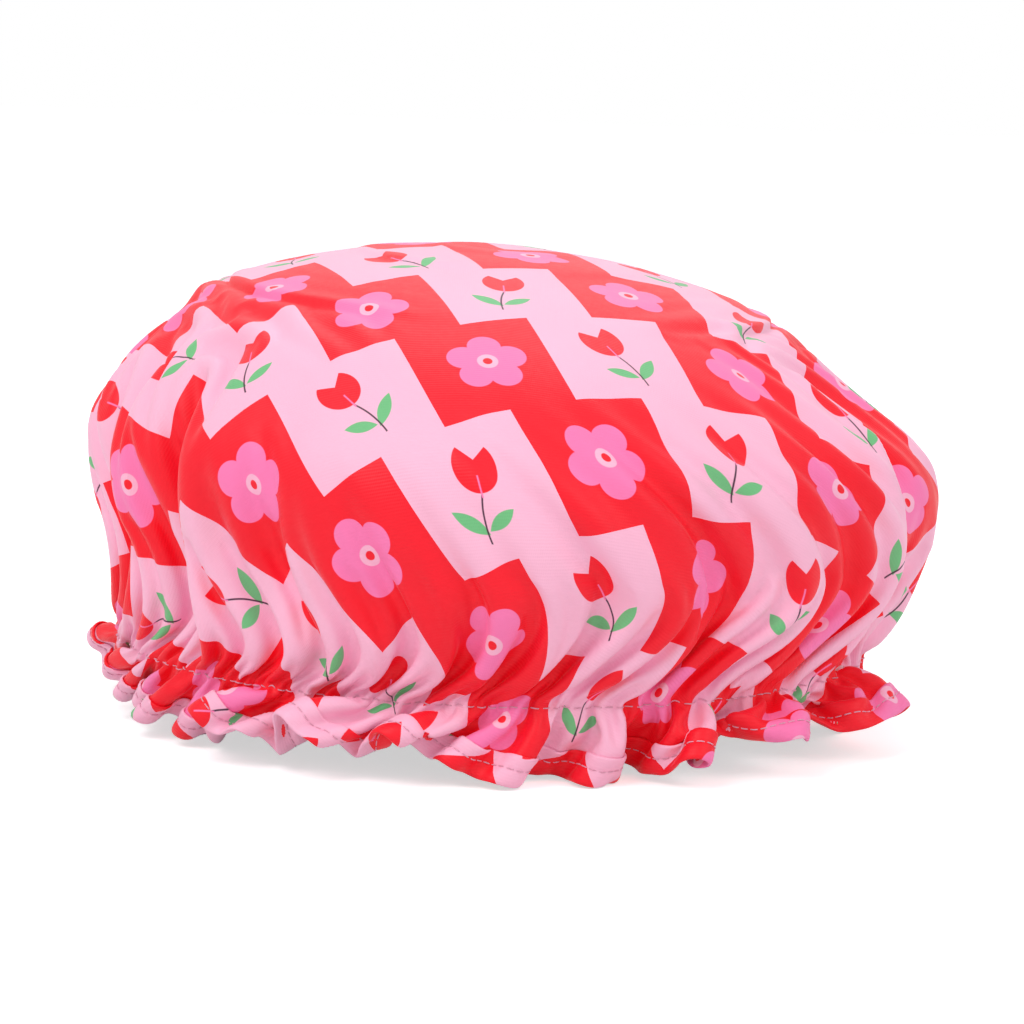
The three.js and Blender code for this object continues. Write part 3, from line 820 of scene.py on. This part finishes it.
def noise(tree, x, y, scale, detail=2.0, roughness=0.5):
    joined = tree.nodes.new("ShaderNodeCombineXYZ")
    tree.links.new(x.source, joined.inputs[0])
    tree.links.new(y.source, joined.inputs[1])
    made = tree.nodes.new("ShaderNodeTexNoise")
    set_inputs(made, {"Scale": scale, "Detail": detail, "Roughness": roughness})
    tree.links.new(joined.outputs[0], made.inputs["Vector"])
    return Number(tree, made.outputs[0])


def tint(tree, mask, under, over):
    """The colour under, painted over where mask is 1. Each of the three is a socket or a plain value."""
    mix = tree.nodes.new("ShaderNodeMix")
    mix.data_type = "RGBA"
    mask = mask.source if isinstance(mask, Number) else mask
    for socket, value in ((mix.inputs[0], mask), (mix.inputs[6], under), (mix.inputs[7], over)):
        if isinstance(value, bpy.types.NodeSocket):
            tree.links.new(value, socket)
        else:
            socket.default_value = value
    return mix.outputs[2]


def dress(tree, shader, shown, height, distance, strength):
    """Gives a material its colour and its relief."""
    tree.links.new(shown, shader.inputs["Base Color"])
    made = tree.nodes.new("ShaderNodeBump")
    set_inputs(made, {"Strength": strength, "Distance": distance})
    tree.links.new(height.source, made.inputs["Height"])
    tree.links.new(made.outputs[0], shader.inputs["Normal"])


def flower(tree, x, y):
    """The red block's colour, with a five-petalled flower at 0, 0."""
    around = y.angle(x).wrap(-math.pi / 5, math.pi / 5)
    far = length_of(x, y)
    petals = length_of(far * around.cos() - PETAL_OUT, far * around.sin()) - PETAL_RADIUS
    shown = tint(tree, petals.inside(), RED, MID_PINK)
    shown = tint(tree, (far - CENTRE_RADIUS).inside(), shown, PALE_PINK)
    return tint(tree, (far - EYE_RADIUS).inside(), shown, RED)


def tulip(tree, x, y):
    """The pale block's colour, with a tulip at 0, 0."""
    x, y = turn_axes(x, y, TULIP_LEAN)
    y = y - TULIP_UP
    points = y - POINTS_UP - ((x / POINT_WIDE).wrap(-1, 1).abs() - 0.5) * POINT_TALL
    cup = (length_of(x / CUP_SQUEEZE, y - CUP_UP) - CUP_RADIUS).high(points)
    near_leaf, far_leaf = (leaf(x, y, *row) for row in LEAVES)
    vein = (x - VEIN_ASIDE).abs().high(y.abs() - VEIN_HALF) - VEIN_HALF_THICK
    shown = tint(tree, near_leaf.low(far_leaf).inside(), PALE_PINK, LEAF_GREEN)
    shown = tint(tree, line(x, y, STEM_TOP, STEM_END, STEM_THICK, STEM_BOW).inside(), shown, STEM_DARK)
    shown = tint(tree, cup.inside(), shown, RED)
    return tint(tree, vein.inside(), shown, MID_PINK)


def print_colour(tree, x, y, turn):
    """The printed pattern: staggered blocks, with a flower turned its own way or a tulip on each."""
    x, y = turn_axes(x, y, math.radians(turn))
    row = (y / BLOCK_TALL).floor()
    odd_row = row.wrap(0, 2)
    x = x + odd_row * (BLOCK_WIDE / 2)
    column = (x / BLOCK_WIDE).floor()
    red_block = (column + (row / 2).floor()).wrap(0, 2)
    x = x - (column + 0.5) * BLOCK_WIDE
    y = y - (row + 0.5) * BLOCK_TALL
    side = odd_row * 2 - 1
    red = flower(tree, *turn_axes(x - FLOWER_ASIDE * side, y, column * 0.9 + row * 0.5))
    return tint(tree, red_block, tulip(tree, x * side, y), red)


def uneven(tree, x, y, source, much):
    """Slight differences in the dye."""
    cloudy = noise(tree, x, y, 38, detail=3)
    made = tree.nodes.new("ShaderNodeHueSaturation")
    tree.links.new((cloudy * much + (1 - much / 2)).source, made.inputs["Value"])
    tree.links.new(source, made.inputs["Color"])
    return made.outputs[0]


def weave_height(tree, x, y):
    """Fine ribs across the cloth, crossed by finer threads, with slubs and slight creases."""
    slub = noise(tree, x, y, 260)
    ribs = (y * (TURN / RIB_SPACING) + slub * 1.6).sin()
    threads = (x * (TURN / CROSS_SPACING) + slub * 1.1).sin()
    creases = noise(tree, x, y, 95, detail=3, roughness=0.6)
    return ribs * 0.5 + threads * 0.22 + creases * 5.0


def printed_cloth(name, turn, washed=0.0):
    """Printed cloth. washed is how far its colours fade to a pale pink, as on its wrong side."""
    material, tree, shader = new_material(name, 0.5, sheen=0.12, specular=0.35, sheen_roughness=0.35)
    x, y = cut_place(tree)
    shown = print_colour(tree, x, y, turn)
    if washed:
        shown = tint(tree, washed, shown, WASHED_PINK)
    shine = noise(tree, x, y, 420) * 0.16 + 0.42
    tree.links.new(shine.source, shader.inputs["Roughness"])
    dress(tree, shader, uneven(tree, x, y, shown, 0.08), weave_height(tree, x, y), 0.05 * MM, 0.7)
    return material


def film():
    material, tree, shader = new_material("waterproof_film", 0.32, specular=0.5)
    x, y = cut_place(tree)
    cloudy = noise(tree, x, y, 30, detail=4)
    crinkle = noise(tree, x, y, 70, detail=5, roughness=0.65)
    fine = noise(tree, x, y, 420)
    tree.links.new((cloudy * 0.2 + 0.24).source, shader.inputs["Roughness"])
    shown = tint(tree, cloudy, FILM_SHADE, FILM_LIGHT)
    dress(tree, shader, shown, crinkle + fine * 0.08, 1.6 * MM, 0.8)
    return material


def thread():
    material, tree, shader = new_material("sewing_thread", 0.45, sheen=0.3, specular=0.4)
    x, y = cut_place(tree)
    ply = (x * (TURN / (0.45 * MM)) + y * TURN).sin()
    dress(tree, shader, tint(tree, ply * 0.5 + 0.5, THREAD_SHADE, THREAD_PINK), ply, 0.05 * MM, 0.8)
    return material


def join_thread():
    material, tree, shader = new_material("join_thread", 0.5, sheen=0.3, specular=0.35)
    x, z = around_place(tree)
    ply = ((x + z) * (TURN / (0.5 * MM))).sin()
    dress(tree, shader, tint(tree, ply * 0.5 + 0.5, JOIN_SHADE, THREAD_PINK), ply, 0.06 * MM, 0.8)
    return material


def braid():
    material, tree, shader = new_material("woven_elastic", 0.7, sheen=0.25, specular=0.25)
    x, z = around_place(tree)
    cords = (z * (TURN / (1.0 * MM))).sin()
    crossing = (x * (TURN / (1.3 * MM)) + (z * (TURN / (2.0 * MM))).sin() * 1.5).sin()
    height = cords * 0.6 + crossing * 0.5
    shown = tint(tree, height * 0.35 + 0.6, BRAID_SHADE, BRAID_LIGHT)
    dress(tree, shader, shown, height, 0.15 * MM, 0.9)
    return material


# The outer cloth

def make_outer(cloth, face, back):
    piece = make_piece("outer_cloth", cloth.points, cloth.faces(), cloth.flat, face)
    piece.data.materials.append(back)
    wall = thicken(piece, "wall", CLOTH_THICK)
    wall.material_offset = wall.material_offset_rim = 1
    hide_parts("outer_shell")
    return piece


# The binding over the ruffle's edge, from its turned-under upper edge outside to the one inside, in mm:
# distance from the cloth's edge, distance off the cloth
BINDING_OUT = [(9.3, 0.25), (9.65, 0.55), (9.6, 0.95), (9.1, 1.12), (8.2, 1.08), (7.2, 0.88), (6.2, 0.8),
               (5.5, 0.62), (5.1, 0.5), (4.7, 0.62), (4.0, 0.78), (2.6, 0.84), (1.2, 0.82), (0.2, 0.66)]
BINDING_END = [(-0.45, 0.36), (-0.62, 0.0)]
BINDING_BACK = [(0.3, 0.2), (5.0, 0.2)]
BINDING_COLUMNS = 2 * RUFFLE_COLUMNS


def mirrored(points):
    return [(edge, -off) for edge, off in reversed(points)]


def tube_faces(columns, around):
    """Squares of a closed tube that returns to its start."""
    column, k = np.meshgrid(np.arange(columns), np.arange(around), indexing="ij")
    after, beside = (column + 1) % columns, (k + 1) % around
    quads = [column * around + k, after * around + k, after * around + beside, column * around + beside]
    return np.stack([q.ravel() for q in quads], 1).tolist()


def section_uvs(columns, around, length, run):
    """A row for each corner of tube_faces, so that the last square doesn't run back over the whole strip."""
    column, k = np.meshgrid(np.arange(columns), np.arange(around), indexing="ij")
    u = np.stack([column, column + 1, column + 1, column], -1) * (length / columns)
    v = np.stack([run[k], run[k], run[k + 1], run[k + 1]], -1)
    return np.stack([u.ravel(), v.ravel()], 1)


def make_binding(patch, material):
    section = BINDING_OUT + BINDING_END + mirrored(BINDING_END[:-1]) + mirrored(BINDING_OUT)
    section = np.array(section + mirrored(BINDING_BACK) + BINDING_BACK) * MM
    angles = np.arange(BINDING_COLUMNS) * TURN / BINDING_COLUMNS
    flat = np.minimum(EDGE_FLAT - section[:, 0], EDGE_FLAT)
    place, down, normal = patch.frame_at(flat[None, :], angles[:, None])
    beyond = np.maximum(-section[:, 0], 0)[None, :, None]
    points = place + normal * section[None, :, 1, None] + down * beyond
    run = np.append(0, np.cumsum(np.linalg.norm(np.roll(section, -1, 0) - section, axis=1)))
    faces = tube_faces(BINDING_COLUMNS, len(section))
    uvs = section_uvs(BINDING_COLUMNS, len(section), TURN * EDGE_FLAT, run)
    piece = make_piece("ruffle_binding", points.reshape(-1, 3), faces, uvs, material, uv_corners=True)
    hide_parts("edge_binding")
    return piece


# The stitches

THREAD_RADIUS = 0.19 * MM
THREAD_DIP = 0.45 * MM
STITCH_SIDES = 8
STITCH_STEPS = 9
GATHER_STITCHES = RUFFLE_COLUMNS // 3
BINDING_STITCHES = 540
BINDING_STITCH_FLAT = EDGE_FLAT - 5.1 * MM


def stitch_faces(count):
    """The faces of that many separate stitches, each a closed tube."""
    rows, sides = STITCH_STEPS, STITCH_SIDES
    k, s = np.meshgrid(np.arange(rows - 1), np.arange(sides), indexing="ij")
    near, far = k * sides, (k + 1) * sides
    beside = (s + 1) % sides
    one = np.stack([near + s, near + beside, far + beside, far + s], -1).reshape(-1, 4)
    caps = [np.arange(sides)[::-1], (rows - 1) * sides + np.arange(sides)]
    faces = []
    for base in np.arange(count) * rows * sides:
        faces += (one + base).tolist() + [(cap + base).tolist() for cap in caps]
    return faces


def stitch_row(name, node, patch, flat, count, length_share, off, arch, inside=False, shift=0.0):
    """A row of separate stitches that dip into the cloth at both ends."""
    across = np.linspace(-1, 1, STITCH_STEPS)
    swell = np.sqrt(np.clip(1 - across ** 8, 0, 1)) * 0.97 + 0.03
    middle = (np.arange(count) + 0.5 + shift) * TURN / count
    angle = middle[:, None] + across[None, :] * (0.5 * length_share * TURN / count)
    place, down, normal = patch.frame_at(flat, angle)
    out = -normal if inside else normal
    rise = off + arch * (1 - across ** 4) - THREAD_DIP * np.abs(across) ** 10
    centre = place + out * rise[None, :, None]
    turn = np.arange(STITCH_SIDES) * TURN / STITCH_SIDES
    ring = np.cos(turn)[:, None] * out[:, :, None, :] + np.sin(turn)[:, None] * down[:, :, None, :]
    points = centre[:, :, None, :] + ring * (swell * THREAD_RADIUS)[None, :, None, None]
    step = TURN * flat / count * length_share / (STITCH_STEPS - 1)
    uv = np.stack([np.repeat(np.arange(STITCH_STEPS) * step, STITCH_SIDES),
                   np.tile(np.arange(STITCH_SIDES) / STITCH_SIDES, STITCH_STEPS)], 1)
    uvs = np.tile(uv, (count, 1))
    piece = make_piece(name, points.reshape(-1, 3), stitch_faces(count), uvs, pink_thread)
    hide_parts(node)
    return piece


# The film lining, which is drawn in smoothly where it comes near the elastic

LINING_GAP = 1.3 * MM
LINING_THICK = 0.15 * MM
LINING_SECTORS = 360
LINING_DRAWN_IN = (184 * MM, 202 * MM)
LINING_LOOSE = (4.5 * MM, 12 * MM)
LINING_AT_BAND = 118.75 * MM
LINING_ABOVE_BAND = 100.75 * MM


def lowest_beside(values, reach):
    """The lowest of each value and of those up to reach places beside it, round the ring."""
    return np.min([np.roll(values, k) for k in range(-reach, reach + 1)], axis=0)


def drawn_radius(out, angle, above):
    """How far out a ring of the lining reaches: less than the cloth around it, also where that folds over."""
    sector = np.floor(angle / TURN * LINING_SECTORS).astype(int) % LINING_SECTORS
    nearest = np.full(LINING_SECTORS, BAND_RADIUS * 2)
    np.minimum.at(nearest, sector, out)
    tight = np.minimum(lowest_beside(out, 5), lowest_beside(nearest, 2)[sector])
    for _ in range(6):
        tight = np.minimum(tight, (np.roll(tight, 1) + np.roll(tight, -1)) / 2)
    loose = smooth(*LINING_LOOSE, above)
    least = LINING_AT_BAND - (LINING_AT_BAND - LINING_ABOVE_BAND) * loose
    return np.maximum(tight - (0.35 + 0.9 * loose) * MM, least)


def lining_points(cloth):
    sides = cloth.sides()
    inward = unit(inward_cross(cloth.points, sides))
    inward[0] = (0, 0, -1)
    inward = unit(inward + sum(inward[side] for side in sides))
    points = cloth.points + inward * LINING_GAP
    for r, (flat, _) in enumerate(cloth.rings):
        by_band = smooth(*LINING_DRAWN_IN, flat)
        if by_band > 0:
            ids = cloth.ring(r)
            x, y, z = cloth.points[ids].T
            out = np.hypot(x, y)
            share = drawn_radius(out, np.arctan2(y, x), STITCH_FLAT - flat) / out
            drawn = np.stack([x * share, y * share, z], 1)
            points[ids] += (drawn - points[ids]) * by_band
    return points


def make_lining(cloth):
    kept = cloth.flat_r <= LINING_FLAT
    points = lining_points(cloth)[kept]
    piece = make_piece("film_lining", points, cloth.faces(LINING_FLAT), cloth.flat[kept], film())
    thicken(piece, "skin", LINING_THICK)
    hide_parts("waterproof_lining")
    return piece


# Floor and light

FLOOR_HALF = 6.0
FLOOR_GREY, FLOOR_GLOW = 0.85, 0.57
WORLD_LIGHT = 0.55

# Place, power and size of each lamp
LAMPS = [((-0.7, -0.9, 1.3), 11, 0.9), ((1.1, -0.8, 1.0), 5, 0.8), ((0.1, 0.9, 1.4), 5, 1.0)]
LAMP_TARGET = Vector((0, 0, 0.06))


def seen_straight(tree):
    """1 for what the camera sees directly, in a reflection or through something clear."""
    rays = tree.nodes.new("ShaderNodeLightPath")
    camera, glossy, through = (Number(tree, rays.outputs[f"Is {kind} Ray"])
                               for kind in ("Camera", "Glossy", "Transmission"))
    return camera.high(glossy).high(through)


def white_floor():
    """White to look at, while it still takes shadows."""
    material = bpy.data.materials.new("white_floor")
    material.use_nodes = True
    tree = material.node_tree
    tree.nodes.clear()
    matt = tree.nodes.new("ShaderNodeBsdfDiffuse")
    matt.inputs["Color"].default_value = (FLOOR_GREY, FLOOR_GREY, FLOOR_GREY, 1)
    glow = tree.nodes.new("ShaderNodeEmission")
    tree.links.new((seen_straight(tree) * FLOOR_GLOW).source, glow.inputs["Strength"])
    both = tree.nodes.new("ShaderNodeAddShader")
    tree.links.new(matt.outputs[0], both.inputs[0])
    tree.links.new(glow.outputs[0], both.inputs[1])
    out = tree.nodes.new("ShaderNodeOutputMaterial")
    tree.links.new(both.outputs[0], out.inputs["Surface"])
    return material


def make_floor():
    mesh = bpy.data.meshes.new("floor")
    corners = [(x * FLOOR_HALF, y * FLOOR_HALF, 0) for x, y in ((-1, -1), (1, -1), (1, 1), (-1, 1))]
    mesh.from_pydata(corners, [], [(0, 1, 2, 3)])
    mesh.materials.append(white_floor())
    floor = put_in_scene("floor", mesh)


def make_world():
    world = bpy.data.worlds.new("studio")
    bpy.context.scene.world = world
    world.use_nodes = True
    tree = world.node_tree
    tree.nodes.clear()
    sky = tree.nodes.new("ShaderNodeBackground")
    strength = seen_straight(tree) * (1 - WORLD_LIGHT) + WORLD_LIGHT
    tree.links.new(strength.source, sky.inputs["Strength"])
    sky.inputs["Color"].default_value = (1, 1, 1, 1)
    out = tree.nodes.new("ShaderNodeOutputWorld")
    tree.links.new(sky.outputs[0], out.inputs["Surface"])


def make_lamps():
    for k, (place, power, size) in enumerate(LAMPS):
        lamp = bpy.data.lights.new(f"lamp_{k}", "AREA")
        lamp.energy, lamp.size = power, size
        holder = put_in_scene(f"lamp_{k}", lamp)
        holder.location = place
        holder.rotation_euler = (LAMP_TARGET - Vector(place)).to_track_quat("-Z", "Y").to_euler()


# Everything is made here

cloth_face = printed_cloth("printed_cloth_face", CLOTH_TURN)
cloth_back = printed_cloth("printed_cloth_back", CLOTH_TURN, washed=0.55)
binding_face = printed_cloth("printed_cloth_binding", BINDING_TURN)
pink_thread = thread()

cloth = Cloth()
cloth.gather()
cloth.settle(SETTLE_STEPS)
cloth.pucker()
patch = Patch(cloth)

outer = make_outer(cloth, cloth_face, cloth_back)
binding = make_binding(patch, binding_face)
gather_row = (patch, STITCH_FLAT, GATHER_STITCHES)
gather_outside = stitch_row("gathering_stitches_outside", "gathering_stitch_outer", *gather_row,
                            length_share=0.8, off=0.22 * MM, arch=0.2 * MM, shift=-0.5)
gather_inside = stitch_row("gathering_stitches_inside", "gathering_stitch_inner", *gather_row,
                           length_share=0.7, off=0.3 * MM, arch=0.1 * MM, inside=True)
binding_row = (patch, BINDING_STITCH_FLAT, BINDING_STITCHES, 0.86, 0.6 * MM, 0.12 * MM)
binding_outside = stitch_row("binding_stitches_outside", "binding_stitch_outer", *binding_row)
binding_inside = stitch_row("binding_stitches_inside", "binding_stitch_inner", *binding_row, inside=True)
lining = make_lining(cloth)

# The elastic and its join keep their own shape
for node, material in (("elastic_band", braid()), ("elastic_join_stitch", join_thread())):
    solid = bpy.data.objects[node]
    solid.data.materials.clear()
    solid.data.materials.append(material)

make_floor()
make_world()
make_lamps()
bpy.context.scene.view_settings.view_transform = "Standard"
